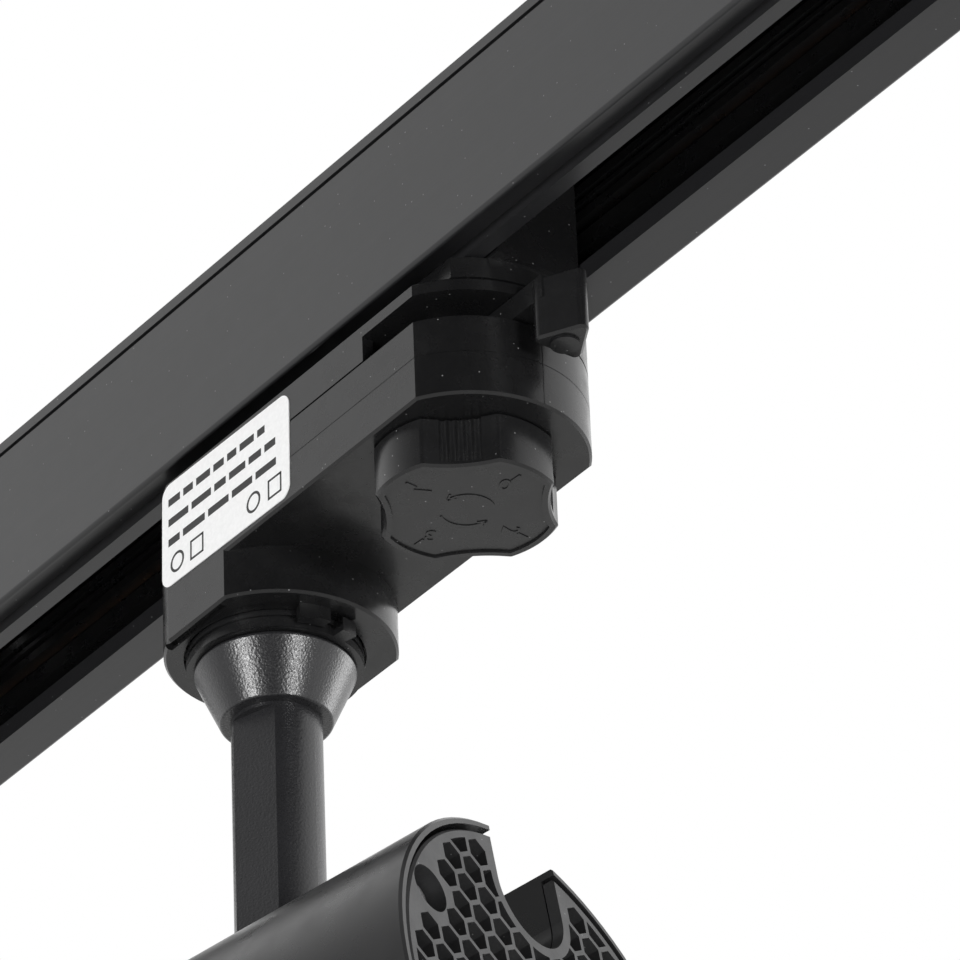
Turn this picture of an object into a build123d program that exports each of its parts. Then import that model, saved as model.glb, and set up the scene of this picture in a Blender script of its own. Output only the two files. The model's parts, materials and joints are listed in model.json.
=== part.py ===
from build123d import *
import os
from math import cos, hypot, radians, sin, sqrt

# Track spotlight on a short length of three-circuit ceiling track. Millimetres, +Z up.
# Origin: centre of the track's top face, the face that is screwed to the ceiling.
# +X runs along the track. The adapter hangs below it, the arm hangs from the adapter's -X end,
# and the lamp head tilts on a bolt at the arm's lower end.

# ---- track ----
track_length = 324.0
track_half_width = 15.9
track_height = 30.8
track_wall = 1.6
track_roof = 2.0
lip_thickness = 3.4
slot_half_width = 8.1
key_rebate_inner = 10.7      # the rebate in one lip keeps an adapter from going in the wrong way round
key_rebate_outer = 15.1
key_rebate_depth = 2.0
side_groove_z = -1.9
side_groove = 0.8
cap_thickness = 3.0
cap_spigot = 4.0
ceiling_hole_spacing = 250.0
ceiling_hole_radius = 2.25
insulator_top_z = -4.0
insulator_bottom_z = -23.6
insulator_face = 9.4         # distance of each insulator's inner face from the middle
conductor_levels = (-10.2, -19.2)
conductor_groove = 2.5
conductor_size = 1.8
conductor_face = 11.6

# ---- adapter ----
arm_x = -25.0                # axis of the arm
knob_x = 25.0                # axis of the selector knob and the lock lever
half_width = 16.5
end_radius = 19.2
heel_radius = 17.3           # the arm's end is a tighter curve
wall = 2.0
shoulder_z = -34.7
window_top_z = -37.0
split_z = -41.8              # seam between the top shell and the middle shell
mould_z = -48.3              # seam between the middle shell and the bottom shell
belly_z = -55.8              # underside below the knob
boss_z = -64.1               # underside of the arm's boss
split_seam = 0.35
mould_seam = 0.12
edge_break = 0.4
plinth_half_width = 12.6
plinth_top_z = -31.1
neck_half_width = 7.7
neck_wall = 1.7
neck_start_x = -41.0
neck_end_x = 10.5
nose_start_x = 40.5
nose_end_x = 45.0
neck_base_z = -28.0
neck_top_z = -6.5
window_start_x = 22.0
deck_thickness = 1.5
screw_places = ((-35.5, 9.3), (-35.5, -9.3), (4.0, 10.8), (4.0, -10.8))
screw_radius = 1.3
screw_head_radius = 2.4
pillar_radius = 3.9
label_length = 34.1
label_height = 18.8
label_thickness = 0.15
label_x = -14.3
label_z = -45.2
label_tilt = 1.0             # the label is stuck on slightly askew

# ---- lock lever ----
lever_top_z = -37.2
lever_bottom_z = -41.2
lever_half_width = 4.0
handle_reach = 25.5          # from the lever's axis to the handle's middle
handle_half_width = 5.0
handle_back = 2.7            # from the handle's middle to its flat inner face
handle_tip = 6.4             # from the handle's middle to its pointed outer edge
handle_top_z = -37.3
handle_bottom_z = -48.3
lever_shaft_radius = 5.0
dog_reach = 13.5
dog_hub_radius = 7.2
dog_bottom_z = -27.1
dog_top_z = -24.2
running_gap = 0.08

# ---- selector ----
knob_radius = 14.65
knob_turn = 4.5              # degrees that the knob's lobes stand off the adapter's length
scallop_radius = 20.0
scallop_centre = 32.6
knob_top_z = -56.1
knob_bottom_z = -64.5
rib_spacing = 5.4            # degrees between the grip grooves in a scallop
selector_shaft_radius = 3.0
drum_radius = 7.4
drum_bottom_z = -23.2
drum_top_z = -7.0
blade_reach = 11.3

# ---- arm ----
tube_radius = 7.1
tube_bore = 5.2
tube_flat = 5.9              # distance of the two flats from the arm's axis
knuckle_ball_radius = 7.9    # rounds the eye's corners, so that it turns in the head's channel
tube_top_z = -52.0
collar_radius = 13.8
collar_bottom_z = -66.7
cone_top_z = -66.9
cone_bottom_z = -76.3
cone_top_radius = 12.9
cone_bottom_radius = 8.75
pivot_z = -131.2
fixed_stop_angle = -13.0
moving_stop_angle = 10.0

# ---- head, in its own frame: origin on the tilt bolt, +X to the rear, +Z up, tilt bolt along Y ----
head_turn = 18.0             # degrees about +Z from +X
head_rise = 9.0              # degrees that the rear end stands above level
head_radius = 39.1
head_wall = 1.2
axis_drop = 28.6             # the housing's centre line lies this far below the tilt bolt
rear_x = 46.3
front_x = -92.0
channel_half_width = 8.25
channel_wall = 2.0
channel_front_x = -8.3
rear_cap_radius = 37.2
rear_cap_face_x = 46.1
rear_cap_thickness = 2.0
rear_cap_border = 1.5
hex_pitch = 5.08
hex_across_flats = 4.3
cap_screw_circle = 32.9
cap_screw_well = 3.85
cap_screw_seat_x = 41.5
cap_boss_radius = 5.4
cap_screw_angles = (30.0, 150.0, 270.0)
heatsink_face_x = -58.0
heatsink_disc_x = -51.0
heatsink_rear_x = -35.0
fin_pitch = 7.5
bezel_front_x = -99.5
pivot_bolt_radius = 2.5
friction_washer_radius = 5.2

ON_BASE = (Align.CENTER, Align.CENTER, Align.MIN)


def disc(radius, z0, z1, x=0.0, y=0.0):
    """A round upright solid from height z0 to height z1."""
    return Pos(x, y, z0) * Cylinder(radius, z1 - z0, align=ON_BASE)


def ring(outer, inner, z0, z1, x=0.0, y=0.0):
    return disc(outer, z0, z1, x, y) - disc(inner, z0 - 1, z1 + 1, x, y)


def block(x0, x1, y0, y1, z0, z1):
    return Pos((x0 + x1) / 2, (y0 + y1) / 2, (z0 + z1) / 2) * Box(x1 - x0, y1 - y0, z1 - z0)


def barrel(radius, x0, x1, y=0.0, z=0.0):
    """A round solid lying along X."""
    return Pos((x0 + x1) / 2, y, z) * Rot(0, 90, 0) * Cylinder(radius, x1 - x0)


def crossbar(radius, y0, y1):
    """A round solid lying along Y, through the origin's axis."""
    return Pos(0, (y0 + y1) / 2, 0) * Rot(90, 0, 0) * Cylinder(radius, y1 - y0)


def save(name, shape):
    shape.label = name
    export_step(shape, f"parts/{name}.step")


# ---------------------------------------------------------------- track

def track_extrusion():
    half = track_length / 2
    outer = block(-half, half, -track_half_width, track_half_width, -track_height, 0)
    lower_edges = outer.edges().filter_by(Axis.X).group_by(Axis.Z)[0]
    body = fillet(lower_edges, 0.7)
    inner_half = track_half_width - track_wall
    body -= block(-half - 1, half + 1, -inner_half, inner_half, lip_thickness - track_height, -track_roof)
    body -= block(-half - 1, half + 1, -slot_half_width, slot_half_width, -track_height - 1, -track_height / 2)
    body -= block(-half - 1, half + 1, -key_rebate_outer, -key_rebate_inner,
                  -track_height - 1, -track_height + key_rebate_depth)
    for side in (-1, 1):
        low, high = sorted((side * (track_half_width + 1), side * (track_half_width - side_groove)))
        body -= block(-half - 1, half + 1, low, high, side_groove_z - side_groove, side_groove_z)
        hole_x = side * ceiling_hole_spacing / 2
        body -= disc(ceiling_hole_radius, -track_roof - 1, 1, hole_x)
    return body


def insulator(side):
    """A ribbed plastic strip along one wall, grooved for two conductors."""
    half = track_length / 2 - 0.2
    back = track_half_width - track_wall - 0.05
    low, high = sorted((side * insulator_face, side * back))
    strip = block(-half, half, low, high, insulator_bottom_z, insulator_top_z)
    for level in conductor_levels:
        low, high = sorted((side * (insulator_face - 1), side * (conductor_face + conductor_size)))
        strip -= block(-half - 1, half + 1, low, high,
                       level - conductor_groove / 2, level + conductor_groove / 2)
    low, high = sorted((side * (insulator_face - 1), side * (insulator_face + 1.2)))
    middle = sum(conductor_levels) / 2
    for rib in (-1.6, 0.4):
        strip -= block(-half - 1, half + 1, low, high, middle + rib, middle + rib + 1.2)
    return strip


def conductors(side):
    """Two square copper bars lying at the back of one insulator's grooves."""
    half = track_length / 2 - 1
    low, high = sorted((side * conductor_face, side * (conductor_face + conductor_size)))
    bars = [block(-half, half, low, high, level - conductor_size / 2, level + conductor_size / 2)
            for level in conductor_levels]
    return Compound(children=bars)


def end_cap(side):
    near, far = track_length / 2, track_length / 2 + cap_thickness
    low, high = sorted((side * near, side * far))
    plate = block(low, high, -track_half_width, track_half_width, -track_height, 0)
    plate = fillet(plate.edges().filter_by(Axis.X), 0.9)
    plate = chamfer(plate.faces().sort_by(Axis.X)[-1 if side > 0 else 0].edges(), 0.5)
    low, high = sorted((side * (near - cap_spigot), side * near))
    return plate + block(low, high, -insulator_face + 0.4, insulator_face - 0.4,
                         insulator_bottom_z, -track_roof - 0.3)


# ---------------------------------------------------------------- adapter

def adapter_plan(z0, z1, inset=0.0):
    """The adapter seen from above: two round ends joined, then cut by two flat sides."""
    radius = end_radius - inset
    flat = half_width - inset
    body = disc(heel_radius - inset, z0, z1, arm_x) + disc(radius, z0, z1, knob_x)
    body += block(arm_x, knob_x, -flat, flat, z0, z1)
    return body & block(arm_x - radius, knob_x + radius, -flat, flat, z0, z1)


def boss_plan(z0, z1, inset=0.0):
    """The boss follows the adapter's heel, and rounds off below the belly."""
    radius = end_radius - inset
    flat = half_width - inset
    toe = disc(radius, z0, z1, arm_x) & block(arm_x, arm_x + radius, -flat, flat, z0, z1)
    return toe + (disc(heel_radius - inset, z0, z1, arm_x) & block(arm_x - radius, arm_x, -flat, flat, z0, z1))


def seam(z, size):
    """The narrow shadow gap that a shell has along its lower edge."""
    return adapter_plan(z - 1, z + size, -1) - adapter_plan(z - 1, z + size, size)


def pillars(z0, z1):
    """Screw pillars, kept within the shell's plan."""
    posts = disc(pillar_radius, z0, z1, *screw_places[0])
    for place in screw_places[1:]:
        posts += disc(pillar_radius, z0, z1, *place)
    return posts & adapter_plan(z0, z1, 0.5)


def without_screw_holes(shape):
    for place in screw_places:
        shape -= disc(screw_radius + 0.1, belly_z + 1.6, 0, *place)
    return shape


def adapter_top_shell():
    shell = adapter_plan(split_z, shoulder_z)
    shell = chamfer(shell.faces().sort_by(Axis.Z)[-1].edges(), edge_break)
    shell -= adapter_plan(split_z - 1, window_top_z, wall)
    shell += pillars(split_z, shoulder_z)
    shell += adapter_plan(shoulder_z, plinth_top_z) & block(
        -60, 60, -plinth_half_width, plinth_half_width, shoulder_z, plinth_top_z)
    outer, inner = neck_half_width, neck_half_width - neck_wall
    shell += block(neck_start_x, nose_end_x, -outer, outer, plinth_top_z, neck_base_z)
    shell += block(neck_start_x, neck_end_x, -outer, outer, plinth_top_z, neck_top_z)
    shell += block(nose_start_x, nose_end_x, -outer, outer, neck_base_z, neck_top_z - 6)
    shell -= block(neck_start_x + 6, neck_end_x - neck_wall, -inner, inner, split_z - 1, neck_top_z - neck_wall)
    shell -= disc(lever_shaft_radius + running_gap, split_z - 1, 0, knob_x)
    # crescent window that the lever swings through, round the -Y side of the knob end
    shell -= block(window_start_x, knob_x + 30, -30, 0, split_z - 1, window_top_z)
    shell -= block(knob_x + 8, knob_x + 30, -1, 5.6, split_z - 1, window_top_z)
    for place in screw_places:
        shell -= disc(screw_head_radius + 0.3, shoulder_z + 0.6, plinth_top_z + 0.1, *place)
    shell -= contact_slot()
    return without_screw_holes(shell - seam(split_z, split_seam))


def contact_slot():
    """The slit in the neck's wall that the neutral contact comes out of."""
    level = conductor_levels[1]
    return block(-34.1, -25.9, neck_half_width - neck_wall - 1, neck_half_width + 1, level - 0.8, level + 0.8)


def adapter_middle_shell():
    shell = adapter_plan(mould_z, split_z) - adapter_plan(mould_z - 1, split_z + 1, wall)
    deck = adapter_plan(split_z - deck_thickness, split_z, 0.5)
    shell += deck & block(window_start_x - 4, 60, -30, 30, split_z - deck_thickness, split_z)
    shell += pillars(mould_z, split_z)
    shell -= disc(selector_shaft_radius + running_gap, mould_z - 1, 0, knob_x)
    return without_screw_holes(shell - seam(mould_z, mould_seam))


def sector(radius_in, radius_out, angle, half_angle, z0, z1):
    """A curved lug on the arm's axis."""
    lug = ring(radius_out, radius_in, z0, z1)
    far, aside = 2 * radius_out * cos(radians(half_angle)), 2 * radius_out * sin(radians(half_angle))
    wedge = make_face(Polyline((0, 0), (far, -aside), (far, aside), close=True))
    cutter = extrude(Pos(0, 0, z0) * wedge, amount=z1 - z0)
    return Pos(arm_x, 0, 0) * Rot(0, 0, angle) * (lug & cutter)


def adapter_bottom_shell():
    shell = break_lower_edges(adapter_plan(belly_z, mould_z) + boss_plan(boss_z, mould_z))
    shell -= adapter_plan(belly_z + wall, mould_z + 1, wall)
    shell -= boss_plan(boss_z + 6, mould_z + 1, wall)
    shell += pillars(belly_z + wall - 0.2, mould_z)
    shell -= disc(collar_radius + 0.4, boss_z - 1, boss_z + 2, arm_x)
    shell -= disc(tube_radius + running_gap, boss_z - 1, 0, arm_x)
    shell -= disc(selector_shaft_radius + running_gap, belly_z - 1, 0, knob_x)
    shell -= block(arm_x - 7, arm_x + 8, -half_width + 0.5, -half_width + 1.9, boss_z - 1, boss_z + 1)
    shell += sector(collar_radius + 0.5, 16.4, fixed_stop_angle, 9, boss_z - 2.3, boss_z)
    return without_screw_holes(shell)


def break_lower_edges(shell):
    """A small break along the outer lower edges of the belly and the boss."""
    edges = []
    for level in (belly_z, boss_z):
        faces = [f for f in shell.faces().filter_by(Axis.Z) if abs(f.center().Z - level) < 0.01]
        for edge in [e for f in faces for e in f.outer_wire().edges()]:
            if level == boss_z or edge.center().X > 0:
                edges.append(edge)
    return chamfer(edges, edge_break)


def shell_screws():
    screws = []
    for place in screw_places:
        screw = disc(screw_radius, belly_z + 2.2, shoulder_z + 0.6, *place)
        screw += disc(screw_head_radius, shoulder_z + 0.6, shoulder_z + 2.2, *place)
        screw -= block(place[0] - 0.35, place[0] + 0.35, place[1] - 1.6, place[1] + 1.6,
                       shoulder_z + 1.4, shoulder_z + 3)
        screws.append(screw)
    return Compound(children=screws)


def rating_label():
    half_length, half_height = label_length / 2, label_height / 2
    face = -half_width - label_thickness
    plate = block(-half_length, half_length, face, -half_width, -half_height, half_height)
    plate = fillet(plate.edges().filter_by(Axis.Y), 2.2)
    return Pos(label_x, 0, label_z) * Rot(0, label_tilt, 0) * plate


def earth_contacts():
    """Sprung strips beside the neck that rub on the slot's two edges."""
    strips = []
    for side in (-1, 1):
        low, high = sorted((side * neck_half_width, side * (neck_half_width + 0.3)))
        strips.append(block(-14, 2, low, high, plinth_top_z + 0.4, neck_base_z + 1))
    return Compound(children=strips)


def neutral_contact():
    level = conductor_levels[1]
    blade = block(-34, -26, 3, blade_reach, level - 0.7, level + 0.7)
    stem = block(-31, -29, 3, 5, split_z + 2, level - 0.7)
    return blade + stem


def terminal_block():
    body = block(-9, 13, -5.6, 5.6, mould_z + 0.8, split_z - 0.4)
    for way in range(4):
        body -= disc(1.5, split_z - 2.4, split_z + 1, -6.0 + 5.3 * way, 0)
    return body


# ---------------------------------------------------------------- lock lever

def lock_lever():
    half = lever_half_width
    arm = block(knob_x, knob_x + handle_reach, -half, half, lever_bottom_z, lever_top_z)
    hub = disc(8.5, lever_bottom_z, lever_top_z, knob_x)
    button = disc(2.25, handle_bottom_z - 0.4, handle_bottom_z + 0.5, knob_x + handle_reach)
    return arm + hub + lever_handle() + button - disc(lever_shaft_radius, lever_bottom_z - 1, 0, knob_x)


def lever_handle():
    """A three-cornered finger grip, flat towards the adapter and pointed outwards."""
    middle = knob_x + handle_reach
    back = middle - handle_back
    plan = Polyline((back, -handle_half_width), (middle + handle_tip, 0), (back, handle_half_width), close=True)
    grip = extrude(Pos(0, 0, handle_bottom_z) * make_face(plan), amount=handle_top_z - handle_bottom_z)
    grip = fillet(grip.edges().filter_by(Axis.Z), 1.2)
    return chamfer(grip.faces().filter_by(Axis.Z).edges(), 0.4)


def lever_shaft():
    return ring(lever_shaft_radius, selector_shaft_radius + running_gap, lever_bottom_z, dog_top_z, knob_x)


def locking_dog():
    """The cross-bar that catches above the track's two lips when the lever lies along the track."""
    bar = block(knob_x - 3.4, knob_x + 3.4, -dog_reach, dog_reach, dog_bottom_z, dog_top_z)
    bar &= disc(dog_reach, dog_bottom_z, dog_top_z, knob_x)
    return bar + ring(dog_hub_radius, lever_shaft_radius, dog_bottom_z, dog_top_z, knob_x) - disc(
        lever_shaft_radius, dog_bottom_z - 1, dog_top_z + 1, knob_x)


# ---------------------------------------------------------------- selector

def knob_blank(z0, z1, inset=0.0):
    """Four lobes, left by four shallow scallops in a round knob."""
    body = disc(knob_radius - inset, z0, z1)
    for quarter in range(4):
        centre = Rot(0, 0, 45 + 90 * quarter) * Pos(scallop_centre, 0, 0)
        body -= centre * disc(scallop_radius + inset, z0 - 1, z1 + 1)
    return body


def scallop_reach(angle):
    """Distance from the knob's axis to a scallop's surface, at an angle from the scallop's middle."""
    turn = radians(angle)
    return scallop_centre * cos(turn) - sqrt(scallop_radius ** 2 - (scallop_centre * sin(turn)) ** 2)


def selector_knob():
    body = fillet(knob_blank(knob_bottom_z, knob_top_z).edges().filter_by(Axis.Z), 1.0)
    body = chamfer(body.faces().sort_by(Axis.Z)[0].edges(), 0.4)
    for quarter in range(4):
        for step in range(-2, 3):
            angle = 45 + 90 * quarter + step * rib_spacing
            groove = disc(0.75, knob_bottom_z + 0.9, knob_top_z + 1, scallop_reach(step * rib_spacing) + 0.4)
            body -= Rot(0, 0, angle) * groove
    body -= knob_blank(knob_bottom_z - 1, knob_bottom_z + 0.35, 1.3)
    return Pos(knob_x, 0, 0) * Rot(0, 0, knob_turn) * body


def selector_shaft():
    return disc(selector_shaft_radius, knob_top_z, drum_top_z - 1, knob_x)


def phase_drum():
    return ring(drum_radius, selector_shaft_radius, drum_bottom_z, drum_top_z, knob_x) - block(
        knob_x - 10, knob_x - 2, -3.1, 3.1, conductor_levels[0] - 0.7, conductor_levels[0] + 0.7)


def phase_contact():
    """A brass blade that turns with the drum and reaches into a conductor's groove."""
    level = conductor_levels[0]
    blade = block(knob_x - blade_reach, knob_x - selector_shaft_radius - 0.5, -3, 3, level - 0.6, level + 0.6)
    return blade & disc(blade_reach, level - 2, level + 2, knob_x)


# ---------------------------------------------------------------- arm

def arm_tube():
    """Round in the boss, with two flats below the cone that lie along the head's channel."""
    tube = disc(tube_radius, pivot_z + tube_radius, tube_top_z)
    for side in (-1, 1):
        low, high = sorted((side * tube_flat, side * 10))
        tube -= block(-10, 10, low, high, pivot_z, cone_bottom_z - 0.6)
    tube -= disc(tube_bore, pivot_z, 0)
    return Pos(arm_x, 0, 0) * Rot(0, 0, head_turn) * tube


def arm_knuckle():
    """The eye in the tube's lower end, with a spigot that is pinned in the bore."""
    tube_end = pivot_z + tube_radius
    eye = crossbar(tube_radius, -tube_flat, tube_flat) & Sphere(knuckle_ball_radius)
    upright = disc(tube_radius, pivot_z, tube_end) & block(-10, 10, -tube_flat, tube_flat, pivot_z, tube_end)
    spigot = disc(tube_bore, tube_end, tube_end + 13) - disc(3.2, tube_end, tube_end + 14)
    eye = Pos(0, 0, pivot_z) * eye + upright + spigot
    eye -= Pos(0, 0, pivot_z) * crossbar(pivot_bolt_radius + running_gap, -10, 10)
    return Pos(arm_x, 0, 0) * Rot(0, 0, head_turn) * eye


def arm_cone():
    height = cone_top_z - cone_bottom_z
    cone = Pos(arm_x, 0, cone_bottom_z) * Cone(cone_bottom_radius, cone_top_radius, height, align=ON_BASE)
    cone = fillet(cone.edges().filter_by(GeomType.CIRCLE), 0.5)
    return cone - disc(tube_radius, cone_bottom_z - 1, cone_top_z + 1, arm_x)


def arm_stop_ring():
    """The collar that turns in the boss's recess, with the lug that meets the boss's stop."""
    collar = ring(collar_radius, tube_radius, cone_top_z, boss_z + 1.7, arm_x)
    collar -= ring(collar_radius + 1, collar_radius - 0.5, boss_z - 1.4, boss_z - 0.8, arm_x)
    return collar + sector(collar_radius - 1, 16.1, moving_stop_angle, 5, cone_top_z, boss_z - 0.4)


def arm_nut():
    hexagon = extrude(Pos(arm_x, 0, boss_z + 7.0) * RegularPolygon(9.6, 6), amount=3.5)
    return hexagon - disc(tube_radius, boss_z, 0, arm_x)


def arm_washer():
    return ring(9.8, tube_radius, boss_z + 6.1, boss_z + 6.9, arm_x)


def arm_cable():
    return disc(2.9, pivot_z + 8, tube_top_z + 5, arm_x)


# ---------------------------------------------------------------- head

def place_head(shape):
    """Moves a piece from the head's own frame to where the head hangs at rest."""
    return Pos(arm_x, 0, pivot_z) * Rot(0, 0, head_turn) * Rot(0, -head_rise, 0) * shape


def on_axis(radius, x0, x1):
    return barrel(radius, x0, x1, 0, -axis_drop)


def channel(x0, x1, grow=0.0):
    """The round-bottomed channel that the arm folds into."""
    half = channel_half_width + grow
    return barrel(half, x0, x1) + block(x0, x1, -half, half, 0, 15)


def head_housing():
    inner_radius = head_radius - head_wall
    shell = on_axis(head_radius, front_x, rear_x)
    shell = chamfer(shell.faces().sort_by(Axis.X)[-1].edges(), edge_break) - on_axis(
        inner_radius, front_x - 1, rear_x + 1)
    trough_end = rear_cap_face_x - rear_cap_thickness - 0.2
    trough = channel(channel_front_x - channel_wall, trough_end, channel_wall)
    shell += trough & on_axis(head_radius - 0.2, front_x, rear_x)
    for angle in cap_screw_angles:
        y, z = screw_spot(angle)
        shell += barrel(cap_boss_radius, 18, 37.8, y, z) & on_axis(head_radius - 0.3, front_x, rear_x)
        shell -= barrel(1.3, 26, 38, y, z)
    shell -= channel(channel_front_x, rear_x + 1)
    shell -= crossbar(friction_washer_radius + 0.3, -channel_half_width, channel_half_width)
    return shell - crossbar(pivot_bolt_radius + running_gap, -12, 12)


def screw_spot(angle):
    return (cap_screw_circle * cos(radians(angle)), cap_screw_circle * sin(radians(angle)) - axis_drop)


def hex_holes():
    """Hexagons on a staggered grid, cut off at the rim and the channel, left out round the screws."""
    row_pitch = hex_pitch * sin(radians(60))
    places = []
    for row in range(-8, 9):
        for column in range(-8, 9):
            y = (column + 0.5 * (row % 2)) * hex_pitch
            z = row * row_pitch
            gaps = [hypot(y - screw_spot(a)[0], z - axis_drop - screw_spot(a)[1]) for a in cap_screw_angles]
            if hypot(y, z) < rear_cap_radius and min(gaps) > cap_screw_well + 2.6:
                places.append((y, z))
    radius = hex_across_flats / 2 / cos(radians(30))
    cells = Sketch() + [Pos(*spot) * RegularPolygon(radius, 6, rotation=30) for spot in places]
    margin = channel_half_width + 1.7
    keep_clear = Pos(0, axis_drop) * Circle(margin) + Pos(0, axis_drop + 10) * Rectangle(2 * margin, 20)
    cells = (cells & Circle(rear_cap_radius - rear_cap_border)) - keep_clear
    kept = [cell for cell in cells.faces() if cell.area > 4]
    holes = [extrude(cell, amount=rear_cap_thickness + 2) for cell in kept]
    stand_up = Plane(origin=(rear_cap_face_x - rear_cap_thickness - 1, 0, -axis_drop),
                     x_dir=(0, 1, 0), z_dir=(1, 0, 0))
    return [stand_up * hole for hole in holes]


def rear_cap():
    inner_x = rear_cap_face_x - rear_cap_thickness
    plate = on_axis(rear_cap_radius, inner_x, rear_cap_face_x)
    plate = chamfer(plate.edges().sort_by(Axis.X)[-1], 0.4)
    for angle in cap_screw_angles:
        y, z = screw_spot(angle)
        plate += barrel(4.6, 38, inner_x, y, z) & on_axis(rear_cap_radius, 38, inner_x)
    plate -= channel(inner_x - 6, rear_cap_face_x + 1)
    for angle in cap_screw_angles:
        y, z = screw_spot(angle)
        plate -= barrel(cap_screw_well, cap_screw_seat_x, rear_cap_face_x + 1, y, z)
        plate -= barrel(1.5, 37, cap_screw_seat_x + 1, y, z)
    return plate - hex_holes()


def rear_cap_screws():
    screws = []
    for angle in cap_screw_angles:
        y, z = screw_spot(angle)
        seat, top = cap_screw_seat_x, cap_screw_seat_x + 2.1
        screw = barrel(1.25, 28, seat, y, z) + barrel(2.9, seat, top, y, z)
        screw = chamfer(screw.faces().sort_by(Axis.X)[-1].edges(), 0.4)
        screw -= block(top - 1, top + 1, y - 0.4, y + 0.4, z - 1.7, z + 1.7)
        screw -= block(top - 1, top + 1, y - 1.7, y + 1.7, z - 0.4, z + 0.4)
        screws.append(screw)
    return Compound(children=screws)


def led_driver():
    box = block(-28, 34, -21, 21, -51.5, -16)
    return chamfer(box.edges().filter_by(Axis.X), 1.5)


def driver_tray():
    floor = block(-30, 34, -20, 20, -53.2, -51.6)
    return floor + block(-31.6, -30, -20, 20, -53.2, -30)


def heatsink():
    body = on_axis(head_radius - head_wall - 0.3, heatsink_face_x, heatsink_disc_x)
    fin_circle = on_axis(head_radius - head_wall - 1.5, heatsink_disc_x, heatsink_rear_x)
    for number in range(-4, 5):
        y = number * fin_pitch
        body += block(heatsink_disc_x - 1, heatsink_rear_x, y - 0.9, y + 0.9, -70, 15) & fin_circle
    for y, z in lead_spots():
        body -= barrel(1.6, heatsink_face_x - 1, heatsink_disc_x + 1, y, z)
    return body


def lead_spots():
    return ((-fin_pitch / 2, -axis_drop - 11), (fin_pitch / 2, -axis_drop - 11))


def led_leads():
    return Compound(children=[barrel(1.0, heatsink_face_x, -31.6, y, z) for y, z in lead_spots()])


def cob_board():
    return on_axis(14, heatsink_face_x - 1.6, heatsink_face_x)


def cob_emitter():
    return on_axis(9, heatsink_face_x - 2.6, heatsink_face_x - 1.6)


def cob_holder():
    holder = on_axis(21, heatsink_face_x - 5, heatsink_face_x)
    holder -= on_axis(14.1, heatsink_face_x - 1.7, heatsink_face_x + 1)
    return holder - on_axis(10, heatsink_face_x - 6, heatsink_face_x)


def reflector():
    """A curved cup, from the emitter out to the front bezel."""
    throat_x, mouth_x = heatsink_face_x - 5.1, front_x - 1
    throat, mouth, skin = 10.5, 33.0, 1.2
    inner = ThreePointArc((throat_x, throat), (throat_x - 11, 24.5), (mouth_x, mouth))
    outer = ThreePointArc((mouth_x, mouth + skin), (throat_x - 10.2, 25.6), (throat_x, throat + skin))
    profile = make_face([inner, Line(inner @ 1, outer @ 0), outer, Line(outer @ 1, inner @ 0)])
    return Pos(0, 0, -axis_drop) * revolve(profile, Axis.X, 360)


def front_glass():
    return on_axis(35.4, -96.4, -94.0)


def front_bezel():
    bezel = on_axis(head_radius, bezel_front_x, front_x) + on_axis(head_radius - head_wall - 0.1, front_x, -87)
    bezel -= on_axis(35.5, -96.5, -86)
    bezel -= on_axis(33.6, bezel_front_x - 1, -96)
    rim = bezel.faces().sort_by(Axis.X)[0].edges()
    return chamfer(rim, 0.8)


def pivot_bolt():
    bolt = crossbar(pivot_bolt_radius, -13, 14.6) + crossbar(4.6, -13.4, -10.3)
    return bolt - extrude(Plane.XZ.offset(11.8) * RegularPolygon(2.3, 6), amount=3)


def pivot_nut():
    nut = extrude(Plane.XZ.offset(-14.3) * RegularPolygon(4.6, 6), amount=4)
    return nut - crossbar(pivot_bolt_radius, 0, 20)


def friction_washers():
    gap = 0.05
    washers = []
    for side in (-1, 1):
        low, high = sorted((side * (tube_flat + gap), side * (channel_half_width - gap)))
        bore = crossbar(pivot_bolt_radius + 0.05, low - 1, high + 1)
        washers.append(crossbar(friction_washer_radius, low, high) - bore)
    return Compound(children=washers)


# ---------------------------------------------------------------- write every piece

os.makedirs("parts", exist_ok=True)

save("track_extrusion", track_extrusion())
for name, side in (("left", -1), ("right", 1)):
    save(f"insulator_{name}", insulator(side))
    save(f"conductors_{name}", conductors(side))
save("end_cap_near", end_cap(1))
save("end_cap_far", end_cap(-1))

save("adapter_top_shell", adapter_top_shell())
save("adapter_middle_shell", adapter_middle_shell())
save("adapter_bottom_shell", adapter_bottom_shell())
save("shell_screws", shell_screws())
save("rating_label", rating_label())
save("earth_contacts", earth_contacts())
save("neutral_contact", neutral_contact())
save("terminal_block", terminal_block())

save("lock_lever", lock_lever())
save("lever_shaft", lever_shaft())
save("locking_dog", locking_dog())

save("selector_knob", selector_knob())
save("selector_shaft", selector_shaft())
save("phase_drum", phase_drum())
save("phase_contact", phase_contact())

for piece in (arm_cone, arm_stop_ring, arm_nut, arm_washer, arm_cable, arm_tube, arm_knuckle):
    save(piece.__name__, piece())

for piece in (head_housing, rear_cap, rear_cap_screws, led_driver, driver_tray, heatsink, led_leads,
              cob_board, cob_emitter, cob_holder, reflector, front_glass, front_bezel,
              pivot_bolt, pivot_nut, friction_washers):
    save(piece.__name__, place_head(piece()))
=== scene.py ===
import json
import math
import random

import bmesh
import bpy
from mathutils import Matrix, Quaternion, Vector


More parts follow.
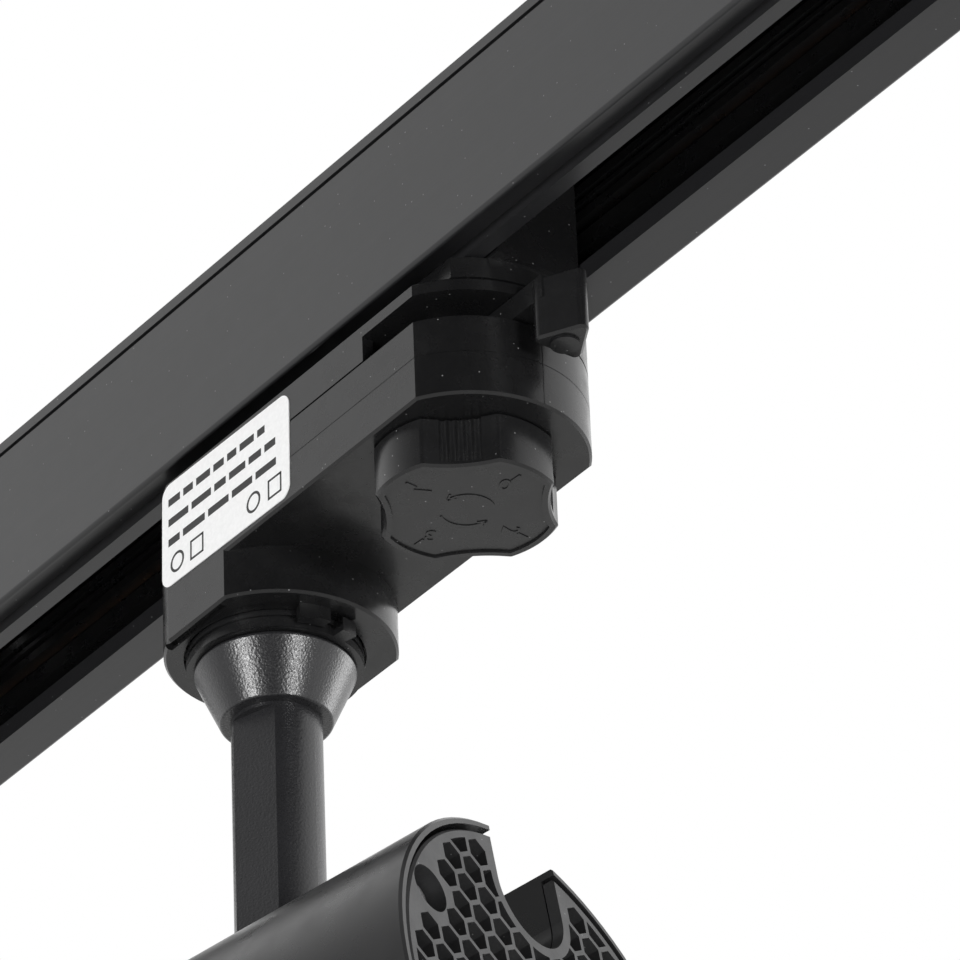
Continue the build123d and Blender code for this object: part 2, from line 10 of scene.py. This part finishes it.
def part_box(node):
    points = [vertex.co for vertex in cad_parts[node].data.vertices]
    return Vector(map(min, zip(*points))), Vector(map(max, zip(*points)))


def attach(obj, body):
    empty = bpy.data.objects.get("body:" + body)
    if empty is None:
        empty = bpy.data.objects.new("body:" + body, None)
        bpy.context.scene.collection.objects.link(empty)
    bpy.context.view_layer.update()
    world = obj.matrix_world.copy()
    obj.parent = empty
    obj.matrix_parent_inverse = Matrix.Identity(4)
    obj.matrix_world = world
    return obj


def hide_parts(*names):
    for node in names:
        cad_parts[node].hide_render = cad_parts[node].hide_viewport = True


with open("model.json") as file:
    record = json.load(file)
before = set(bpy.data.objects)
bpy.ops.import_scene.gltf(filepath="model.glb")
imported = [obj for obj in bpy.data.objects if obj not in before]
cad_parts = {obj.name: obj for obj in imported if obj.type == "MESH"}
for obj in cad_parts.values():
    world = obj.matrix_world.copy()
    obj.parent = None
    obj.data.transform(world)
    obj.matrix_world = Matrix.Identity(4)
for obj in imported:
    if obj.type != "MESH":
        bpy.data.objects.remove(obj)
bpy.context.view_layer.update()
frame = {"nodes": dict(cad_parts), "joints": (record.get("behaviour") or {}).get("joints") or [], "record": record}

MM = 0.001

# The knob's axis and the head's pivot are read from the frame. The head's attitude at rest
# and the drop from its pivot to its axis are the CAD's own.
joints = {joint["name"]: joint for joint in frame["joints"]}
knob_axis = Vector(joints["selector_turn"]["pos_m"])
pivot = Vector(joints["head_tilt"]["pos_m"])
HEAD_TURN = math.radians(18)
HEAD_RISE = math.radians(9)
AXIS_DROP = 28.6 * MM
head_frame = (Matrix.Translation(pivot) @ Matrix.Rotation(HEAD_TURN, 4, "Z")
              @ Matrix.Rotation(-HEAD_RISE, 4, "Y"))


# ---------------------------------------------------------------- materials

class Paint:
    """A principled material with a few helpers for its procedural detail, in object space."""

    def __init__(self, name, roughness=0.5, metallic=0.0, specular=0.5, coat=0.0):
        self.material = bpy.data.materials.new(name)
        self.material.use_nodes = True
        self.tree = self.material.node_tree
        self.shader = self.tree.nodes["Principled BSDF"]
        self.shader.inputs["Roughness"].default_value = roughness
        self.shader.inputs["Metallic"].default_value = metallic
        self.shader.inputs["Specular IOR Level"].default_value = specular
        self.shader.inputs["Coat Weight"].default_value = coat
        self.place = self.node("ShaderNodeTexCoord").outputs["Object"]

    def node(self, kind, **settings):
        made = self.tree.nodes.new(kind)
        for key, value in settings.items():
            setattr(made, key, value)
        return made

    def link(self, source, target):
        self.tree.links.new(source, target)

    def stretched(self, scale):
        """The object's own coordinates, scaled by a different amount along each axis."""
        mapping = self.node("ShaderNodeMapping")
        mapping.inputs["Scale"].default_value = scale
        self.link(self.place, mapping.inputs["Vector"])
        return mapping.outputs["Vector"]

    def noise(self, scale, detail=3.0, roughness=0.55, place=None):
        made = self.node("ShaderNodeTexNoise")
        made.inputs["Scale"].default_value = scale
        made.inputs["Detail"].default_value = detail
        made.inputs["Roughness"].default_value = roughness
        self.link(place or self.place, made.inputs["Vector"])
        return made.outputs["Fac"]

    def cells(self, scale):
        made = self.node("ShaderNodeTexVoronoi", feature="SMOOTH_F1")
        made.inputs["Scale"].default_value = scale
        self.link(self.place, made.inputs["Vector"])
        return made.outputs["Distance"]

    def specks(self, amount):
        """Sparse round specks of dust, about a quarter of a millimetre across."""
        made = self.node("ShaderNodeTexVoronoi")
        made.inputs["Scale"].default_value = 450
        self.link(self.place, made.inputs["Vector"])
        return self.band(made.outputs["Distance"], 0.04, 0.06, amount, 0)

    def band(self, value, low, high, start=0.0, end=1.0):
        """Maps value from low..high to start..end, and holds it there."""
        made = self.node("ShaderNodeMapRange")
        for name, number in zip(("From Min", "From Max", "To Min", "To Max"), (low, high, start, end)):
            made.inputs[name].default_value = number
        self.link(value, made.inputs["Value"])
        return made.outputs["Result"]

    def mix(self, factor, first, second):
        """Colour that goes from first to second with factor; each is a colour or another node's output."""
        made = self.node("ShaderNodeMix", data_type="RGBA")
        self.link(factor, made.inputs["Factor"])
        for name, value in (("A", first), ("B", second)):
            socket = [s for s in made.inputs if s.name == name and s.type == "RGBA"][0]
            if isinstance(value, tuple):
                socket.default_value = (*value, 1.0)
            else:
                self.link(value, socket)
        return [s for s in made.outputs if s.type == "RGBA"][0]

    def colour(self, value):
        self.link(value, self.shader.inputs["Base Color"])

    def rough(self, value):
        self.link(value, self.shader.inputs["Roughness"])

    def bump(self, *layers):
        """Stacks bumps: each layer is (height, depth in millimetres, strength)."""
        last = None
        for height, depth, strength in layers:
            made = self.node("ShaderNodeBump")
            made.inputs["Distance"].default_value = depth * MM
            made.inputs["Strength"].default_value = strength
            self.link(height, made.inputs["Height"])
            if last:
                self.link(last, made.inputs["Normal"])
            last = made.outputs["Normal"]
        self.link(last, self.shader.inputs["Normal"])

    def edges(self):
        """Painted highlight: brighter where the surface is convex, standing in for light caught along the edges.
        """
        return self.band(self.node("ShaderNodeNewGeometry").outputs["Pointiness"], 0.52, 0.62)


def moulded(name, grey, roughness, depth=0.02, dust=0.5):
    """Black moulded plastic: a fine grain, slow changes of tone, and a few specks of dust."""
    paint = Paint(name, roughness, specular=0.45)
    slow = paint.noise(70, 2)
    tone = paint.mix(slow, (grey * 0.82, grey * 0.82, grey * 0.86), (grey * 1.18, grey * 1.18, grey * 1.22))
    fine = paint.noise(2400, 4, 0.7)
    tone = paint.mix(paint.band(fine, 0.52, 0.75, 0, 0.35), tone, (grey * 2.6, grey * 2.6, grey * 2.7))
    paint.colour(paint.mix(paint.specks(dust), tone, (0.4, 0.4, 0.4)))
    paint.rough(paint.band(paint.noise(260, 3), 0.3, 0.7, roughness - 0.06, roughness + 0.08))
    paint.bump((fine, depth, 0.5))
    return paint.material


def wrinkle_coat(name):
    """Black wrinkle powder coat: rounded pimples a third of a millimetre across that catch the light."""
    paint = Paint(name, 0.3, specular=0.6)
    slow = paint.noise(60, 2)
    pimples = paint.cells(2900)
    fine = paint.noise(4200, 3)
    paint.colour(paint.mix(slow, (0.012, 0.012, 0.013), (0.02, 0.02, 0.022)))
    paint.rough(paint.band(fine, 0.3, 0.7, 0.24, 0.4))
    paint.bump((pimples, 0.07, 0.6), (fine, 0.01, 0.3))
    return paint.material


def satin_coat(name, grey, roughness):
    """Smooth satin powder coat on aluminium, with a very fine orange peel and a painted highlight along convex
    edges.
    """
    paint = Paint(name, roughness, specular=0.5)
    slow = paint.noise(35, 2)
    tone = paint.mix(slow, (grey * 0.9, grey * 0.9, grey * 0.94), (grey * 1.1, grey * 1.1, grey * 1.14))
    fine = paint.noise(3200, 3, 0.7)
    tone = paint.mix(paint.band(fine, 0.6, 0.8, 0, 0.3), tone, (grey * 2.2, grey * 2.2, grey * 2.3))
    # Painted highlight: convex edges are lightened towards three times the coat's grey, in place of light caught
    # on them.
    paint.colour(paint.mix(paint.band(paint.edges(), 0, 1, 0, 0.25), tone, (grey * 3, grey * 3, grey * 3.1)))
    paint.rough(paint.band(paint.noise(180, 3), 0.3, 0.7, roughness - 0.05, roughness + 0.06))
    paint.bump((fine, 0.012, 0.4))
    return paint.material


def track_coat(name):
    """Satin black coat on an extrusion: faint die lines run along the track."""
    paint = Paint(name, 0.4, specular=0.5)
    lines = paint.noise(1, 3, 0.6, paint.stretched((3, 900, 900)))
    slow = paint.noise(14, 2)
    tone = paint.mix(slow, (0.012, 0.012, 0.013), (0.015, 0.015, 0.016))
    tone = paint.mix(paint.band(lines, 0.45, 0.75, 0, 0.3), tone, (0.022, 0.022, 0.024))
    paint.colour(paint.mix(paint.specks(0.5), tone, (0.35, 0.35, 0.36)))
    paint.rough(paint.band(paint.noise(300, 3), 0.3, 0.7, 0.28, 0.32))
    paint.bump((lines, 0.012, 0.5), (paint.noise(2600, 2), 0.01, 0.4))
    return paint.material


def metal(name, tint, roughness, scale=(1500, 60, 60)):
    """Bare metal with drawn or turned lines and slightly duller patches."""
    paint = Paint(name, roughness, metallic=1.0)
    lines = paint.noise(1, 3, 0.6, paint.stretched(scale))
    dull = tuple(0.6 * part for part in tint)
    paint.colour(paint.mix(paint.band(lines, 0.3, 0.75), tint, dull))
    paint.rough(paint.band(paint.noise(140, 3), 0.3, 0.7, roughness - 0.06, roughness + 0.12))
    paint.bump((lines, 0.015, 0.4))
    return paint.material


def printed_vinyl(name):
    paint = Paint(name, 0.38, specular=0.5)
    fine = paint.noise(1400, 3)
    paint.colour(paint.mix(paint.band(fine, 0.35, 0.75), (0.86, 0.86, 0.86), (0.93, 0.93, 0.93)))
    paint.rough(paint.band(paint.noise(120, 2), 0.3, 0.7, 0.3, 0.44))
    paint.bump((fine, 0.008, 0.3), (paint.noise(90, 2), 0.05, 0.15))
    return paint.material


def pale_plastic(name, tint):
    paint = Paint(name, 0.45)
    slow = paint.noise(90, 3)
    dull = tuple(0.9 * part for part in tint)
    paint.colour(paint.mix(slow, dull, tint))
    paint.rough(paint.band(paint.noise(300, 2), 0.3, 0.7, 0.4, 0.53))
    paint.bump((paint.noise(1500, 3), 0.015, 0.4))
    return paint.material


def phosphor(name):
    """The yellow gel over the emitter's chips, which show as faint rows of dots."""
    paint = Paint(name, 0.3, coat=0.3)
    dots = paint.cells(700)
    paint.colour(paint.mix(paint.band(dots, 0.2, 0.7), (0.85, 0.55, 0.08), (0.95, 0.74, 0.2)))
    paint.bump((dots, 0.03, 0.3))
    return paint.material


def clear_glass(name):
    paint = Paint(name, 0.03)
    paint.shader.inputs["Transmission Weight"].default_value = 0.95
    paint.shader.inputs["IOR"].default_value = 1.5
    smear = paint.noise(40, 3)
    paint.colour(paint.mix(smear, (0.93, 0.96, 0.95), (0.98, 1.0, 0.99)))
    paint.rough(paint.band(smear, 0.4, 0.8, 0.02, 0.09))
    return paint.material


def mirror_coat(name):
    paint = Paint(name, 0.12, metallic=1.0)
    haze = paint.noise(200, 3)
    paint.colour(paint.mix(haze, (0.82, 0.83, 0.85), (0.92, 0.92, 0.94)))
    paint.rough(paint.band(haze, 0.3, 0.8, 0.08, 0.2))
    return paint.material


def ink(name, grey):
    paint = Paint(name, 0.5)
    paint.colour(paint.mix(paint.noise(1600, 3), (grey, grey, grey), (grey * 2.2, grey * 2.2, grey * 2.2)))
    return paint.material


SLOT_LOOKS = {
    "track_aluminium": track_coat("track_coat"),
    "cap_plastic": moulded("cap_plastic", 0.03, 0.4),
    "insulator": moulded("insulator_plastic", 0.012, 0.3, dust=0.0),
    "copper": metal("copper_bar", (0.72, 0.4, 0.24), 0.35, (20, 1500, 1500)),
    "adapter_plastic": moulded("adapter_plastic", 0.008, 0.24),
    "knob_plastic": moulded("knob_plastic", 0.01, 0.24, depth=0.012),
    "steel": metal("zinc_steel", (0.8, 0.8, 0.81), 0.35),
    "brass": metal("contact_brass", (0.78, 0.56, 0.26), 0.3),
    "label": printed_vinyl("label_vinyl"),
    "terminal": pale_plastic("terminal_polyamide", (0.78, 0.78, 0.75)),
    "arm_paint": wrinkle_coat("wrinkle_coat"),
    "cable": moulded("cable_sheath", 0.03, 0.6, dust=0.0),
    "head_paint": satin_coat("head_coat", 0.014, 0.3),
    "bare_aluminium": metal("bare_aluminium", (0.74, 0.75, 0.77), 0.35),
    "driver_case": pale_plastic("driver_case", (0.8, 0.8, 0.78)),
    "cob_phosphor": phosphor("phosphor_gel"),
    "white_plastic": pale_plastic("white_holder", (0.85, 0.85, 0.83)),
    "reflector": mirror_coat("reflector_coat"),
    "glass": clear_glass("front_glass"),
    "nylon": moulded("black_nylon", 0.03, 0.5, dust=0.0),
}


def dress_frame():
    """Gives every CAD node the finish of its slot."""
    for part in frame["record"]["subparts"]:
        node = frame["nodes"][part["node"]]
        node.data.materials.clear()
        node.data.materials.append(SLOT_LOOKS[part["material_slot"]])


# ---------------------------------------------------------------- pieces

def mesh_piece(name, shape, body, material):
    """Makes a mesh piece from a bmesh, and lets it ride on a body."""
    mesh = bpy.data.meshes.new(name)
    shape.to_mesh(mesh)
    shape.free()
    mesh.materials.append(material)
    piece = bpy.data.objects.new(name, mesh)
    bpy.context.scene.collection.objects.link(piece)
    bpy.context.view_layer.update()
    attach(piece, body)
    return piece


def add_box(shape, place, size):
    """Adds a box of a given size, with its middle and turn given by a matrix."""
    bmesh.ops.create_cube(shape, size=1.0, matrix=place @ Matrix.Diagonal((*size, 1)))


def add_hoop(shape, place, radius, width, height, start=0.0, sweep=math.tau, steps=32):
    """Adds a flat raised arc, or a whole ring, lying in a matrix's XY plane."""
    closed = abs(sweep - math.tau) < 1e-6
    rows = []
    for step in range(steps if closed else steps + 1):
        angle = start + sweep * step / steps
        corners = ((radius - width / 2, 0), (radius + width / 2, 0),
                   (radius + width / 2, height), (radius - width / 2, height))
        rows.append([shape.verts.new(place @ Vector((math.cos(angle) * r, math.sin(angle) * r, z)))
                     for r, z in corners])
    pairs = list(zip(rows, rows[1:] + rows[:1])) if closed else list(zip(rows, rows[1:]))
    for first, second in pairs:
        for side in range(4):
            other = (side + 1) % 4
            shape.faces.new((first[side], first[other], second[other], second[side]))
    if not closed:
        shape.faces.new(rows[0][::-1])
        shape.faces.new(rows[-1])


# The label's print, in millimetres from the label's middle.
LABEL_TILT = math.radians(1.0)
INK_THICKNESS = 0.04
RING_HEIGHT = 0.03
ROWS = ((5.9, 26.0), (2.2, 30.0), (-1.5, 29.0))     # height and length of each row
ROW_START = -15.3
BAR_HEIGHT, BAR_GAP = 1.35, 0.9
SIGN_SPOTS, SIGN_HEIGHT = (-12.9, -7.6, 7.6, 13.2), -5.9
SIGN_HALF = 1.6


def label_print():
    """Dark bars in rows, and two rings and two squares, stand for the label's print."""
    low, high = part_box("rating_label")
    middle = Vector(((low.x + high.x) / 2, low.y, (low.z + high.z) / 2))
    face = (Matrix.Translation(middle) @ Matrix.Rotation(LABEL_TILT, 4, "Y")
            @ Matrix.Rotation(math.pi / 2, 4, "X"))
    shape = bmesh.new()
    draw = random.Random(4)
    for height, length in ROWS:
        reach = ROW_START
        while reach < ROW_START + length:
            word = min(draw.uniform(2.2, 6.2), ROW_START + length - reach)
            if word > 0.8:
                centre = Vector((reach + word / 2, height, 0)) * MM
                bar = Vector((word, BAR_HEIGHT, INK_THICKNESS)) * MM
                add_box(shape, face @ Matrix.Translation(centre), bar)
            reach += word + BAR_GAP
    for number, sign_x in enumerate(SIGN_SPOTS):
        spot = face @ Matrix.Translation(Vector((sign_x, SIGN_HEIGHT, 0)) * MM)
        if number % 2:
            for turn in range(4):
                side = (Matrix.Rotation(turn * math.pi / 2, 4, "Z")
                        @ Matrix.Translation((0, SIGN_HALF * MM, 0)))
                add_box(shape, spot @ side, Vector((3.5, 0.4, INK_THICKNESS)) * MM)
        else:
            add_hoop(shape, spot, SIGN_HALF * MM, 0.45 * MM, RING_HEIGHT * MM)
    mesh_piece("label_print", shape, "adapter", ink("label_ink", 0.008))


NUMBER_SIZE = 4.0 * MM
NUMBER_RADIUS = 8.6 * MM
NUMBER_LEAN = math.radians(-60)
NUMBER_ON_QUARTER = (0, 1, 3, 2)
KNOB_EMBOSS = 0.26 * MM
KNOB_RECESS = 0.35 * MM
KNOB_TURN = math.radians(4.5)
SPOKE_RADIUS = 11.1 * MM
ARROW_RADIUS = 4.2 * MM
ARROW_START = math.radians(-30)
ARROW_SWEEP = math.radians(115)
BARB_LEAN = math.radians(32)


def knob_face():
    """A frame on the knob's recessed face, looking down, so that marks read from below."""
    low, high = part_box("selector_knob")
    return (Matrix.Translation((knob_axis.x, knob_axis.y, low.z + KNOB_RECESS))
            @ Matrix.Rotation(KNOB_TURN, 4, "Z") @ Matrix.Rotation(math.pi, 4, "X"))


def knob_numbers():
    """Raised numbers, one on each lobe."""
    face = knob_face()
    for quarter, number in enumerate(NUMBER_ON_QUARTER):
        turn = face @ Matrix.Rotation(quarter * math.pi / 2, 4, "Z")
        curve = bpy.data.curves.new(f"knob_number_{number}", "FONT")
        curve.body = str(number)
        curve.size = NUMBER_SIZE
        curve.extrude = KNOB_EMBOSS / 2
        curve.align_x, curve.align_y = "CENTER", "CENTER"
        curve.materials.append(SLOT_LOOKS["knob_plastic"])
        piece = bpy.data.objects.new(f"knob_number_{number}", curve)
        piece.matrix_world = (turn @ Matrix.Translation((NUMBER_RADIUS, 0, 0))
                              @ Matrix.Rotation(NUMBER_LEAN, 4, "Z"))
        bpy.context.scene.collection.objects.link(piece)
        bpy.context.view_layer.update()
        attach(piece, "selector")


def knob_arrows():
    """Two curved arrows round the knob's middle, and a short radial line on each lobe."""
    face = knob_face()
    shape = bmesh.new()
    for half in range(2):
        start = ARROW_START + math.pi * half
        add_hoop(shape, face, ARROW_RADIUS, 0.35 * MM, KNOB_EMBOSS / 2, start, ARROW_SWEEP, 20)
        tip = (face @ Matrix.Rotation(start + ARROW_SWEEP, 4, "Z")
               @ Matrix.Translation((ARROW_RADIUS, 0, 0)))
        for side in (-1, 1):
            barb = Matrix.Rotation(side * BARB_LEAN, 4, "Z") @ Matrix.Translation((0, -0.7 * MM, 0))
            add_box(shape, tip @ barb, (0.32 * MM, 1.5 * MM, KNOB_EMBOSS))
    for quarter in range(4):
        spoke = (face @ Matrix.Rotation(quarter * math.pi / 2, 4, "Z")
                 @ Matrix.Translation((SPOKE_RADIUS, 0, 0)))
        add_box(shape, spoke, (2.0 * MM, 0.4 * MM, KNOB_EMBOSS))
    mesh_piece("knob_arrows", shape, "selector", SLOT_LOOKS["knob_plastic"])


MOULD_LINE_BOTTOM = -55.4 * MM
MOULD_LINE_OFFSET = 0.6 * MM


def mould_line():
    """The thin flash line that runs down the adapter's knob end."""
    end_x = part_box("adapter_bottom_shell")[1].x
    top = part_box("adapter_middle_shell")[1].z - 0.5 * MM
    shape = bmesh.new()
    middle = Matrix.Translation((end_x, MOULD_LINE_OFFSET, (top + MOULD_LINE_BOTTOM) / 2))
    add_box(shape, middle, (0.12 * MM, 0.14 * MM, top - MOULD_LINE_BOTTOM))
    mesh_piece("mould_line", shape, "adapter", SLOT_LOOKS["adapter_plastic"])


def faceted_reflector():
    """The reflector's cup in flat facets, closed by flat rings at its throat and mouth, in place of its smooth CAD
    solid.
    """
    rings, facets, skin = 9, 30, 0.9 * MM
    throat_x, mouth_x = -63.2 * MM, -92.9 * MM
    throat, mouth = 10.6 * MM, 33.4 * MM
    place = head_frame @ Matrix.Translation((0, 0, -AXIS_DROP))
    shape = bmesh.new()

    def radius_at(share):
        return throat + (mouth - throat) * share ** 0.62

    def loop(share, extra, offset):
        x = throat_x + (mouth_x - throat_x) * share
        radius = radius_at(share) + extra
        return [shape.verts.new(place @ Vector((x, radius * math.cos(angle), radius * math.sin(angle))))
                for angle in ((step + offset) * math.tau / facets for step in range(facets))]

    inner = [loop(number / rings, 0, 0.5 * (number % 2)) for number in range(rings + 1)]
    outer = [loop(number / rings, skin, 0.5 * (number % 2)) for number in range(rings + 1)]
    for loops, flip in ((inner, False), (outer, True)):
        for number in range(rings):
            for step in range(facets):
                ahead = (step + 1) % facets
                a, b = loops[number][step], loops[number][ahead]
                c, d = loops[number + 1][ahead], loops[number + 1][step]
                corners = ((a, b, d), (b, c, d)) if number % 2 == 0 else ((a, b, c), (a, c, d))
                for corner in corners:
                    shape.faces.new(corner[::-1] if flip else corner)
    for first, second in ((inner[-1], outer[-1]), (outer[0], inner[0])):
        for step in range(facets):
            ahead = (step + 1) % facets
            shape.faces.new((first[step], first[ahead], second[ahead], second[step]))
    bmesh.ops.recalc_face_normals(shape, faces=shape.faces)
    piece = mesh_piece("faceted_reflector", shape, "head", SLOT_LOOKS["reflector"])
    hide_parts("reflector")


# ---------------------------------------------------------------- studio

# The room's dark side, and how light falls off towards it.
DARK_SIDE = Vector((0.6, -0.78, 0.1)).normalized()
FALL_OFF = (-0.1, 0.8, 1.15, 0.0)


def studio():
    """Light all round, except for the dark side of the room that the camera stands in."""
    scene = bpy.context.scene
    scene.view_settings.view_transform = "Standard"
    world = bpy.data.worlds.new("studio")
    scene.world = world
    world.use_nodes = True
    tree = world.node_tree
    background = tree.nodes["Background"]
    direction = tree.nodes.new("ShaderNodeTexCoord").outputs["Generated"]
    facing = tree.nodes.new("ShaderNodeVectorMath")
    facing.operation = "DOT_PRODUCT"
    facing.inputs[1].default_value = DARK_SIDE
    tree.links.new(direction, facing.inputs[0])
    light = tree.nodes.new("ShaderNodeMapRange")
    for name, value in zip(("From Min", "From Max", "To Min", "To Max"), FALL_OFF):
        light.inputs[name].default_value = value
    tree.links.new(facing.outputs["Value"], light.inputs["Value"])
    seen = tree.nodes.new("ShaderNodeMix")
    seen.data_type = "FLOAT"
    seen.inputs["B"].default_value = 1.0
    tree.links.new(tree.nodes.new("ShaderNodeLightPath").outputs["Is Camera Ray"], seen.inputs["Factor"])
    tree.links.new(light.outputs["Result"], seen.inputs["A"])
    tree.links.new(seen.outputs["Result"], background.inputs["Strength"])
    background.inputs["Color"].default_value = (1, 1, 1, 1)


def floor():
    paint = Paint("pale_floor", 0.7)
    paint.colour(paint.mix(paint.noise(3, 3), (0.8, 0.8, 0.79), (0.86, 0.86, 0.85)))
    mesh = bpy.data.meshes.new("floor")
    shape = bmesh.new()
    bmesh.ops.create_grid(shape, x_segments=1, y_segments=1, size=4.0)
    shape.to_mesh(mesh)
    shape.free()
    mesh.materials.append(paint.material)
    plane = bpy.data.objects.new("floor", mesh)
    plane.location = (0, 0, -2.4)
    bpy.context.scene.collection.objects.link(plane)


LIT_SPOT = Vector((0.0, 0.0, -0.08))


def soft_light(name, place, size, power):
    """A square lamp, in metres and watts, turned towards the adapter."""
    lamp = bpy.data.lights.new(name, "AREA")
    lamp.size = size
    lamp.energy = power
    holder = bpy.data.objects.new(name, lamp)
    holder.location = place
    holder.rotation_mode = "QUATERNION"
    holder.rotation_quaternion = (LIT_SPOT - Vector(place)).to_track_quat("-Z", "Y")
    bpy.context.scene.collection.objects.link(holder)


CAMERA_PLACE = Vector((0.7433, -0.5567, -0.6644))
CAMERA_HEADING = math.radians(142.09)
CAMERA_CLIMB = math.radians(33.68)
CAMERA_ROLL = math.radians(-2.35)
CAMERA_LENS = 271.5


def camera():
    """Looks up at the adapter from below, through a long lens."""
    data = bpy.data.cameras.new("camera")
    data.lens = CAMERA_LENS
    data.clip_start, data.clip_end = 0.05, 60
    holder = bpy.data.objects.new("camera", data)
    holder.location = CAMERA_PLACE
    ahead = Vector((math.cos(CAMERA_HEADING) * math.cos(CAMERA_CLIMB),
                    math.sin(CAMERA_HEADING) * math.cos(CAMERA_CLIMB), math.sin(CAMERA_CLIMB)))
    holder.rotation_mode = "QUATERNION"
    holder.rotation_quaternion = ahead.to_track_quat("-Z", "Y") @ Quaternion((0, 0, 1), CAMERA_ROLL)
    bpy.context.scene.collection.objects.link(holder)
    bpy.context.scene.camera = holder


camera()
studio()
floor()
soft_light("left_box", (0.2, -1.28, -0.4), 0.3, 11)
soft_light("right_box", (1.28, -0.11, -0.4), 0.22, 8)
soft_light("rim", (0.3, 1.5, 0.1), 0.7, 8)
dress_frame()
label_print()
knob_numbers()
knob_arrows()
mould_line()
faceted_reflector()
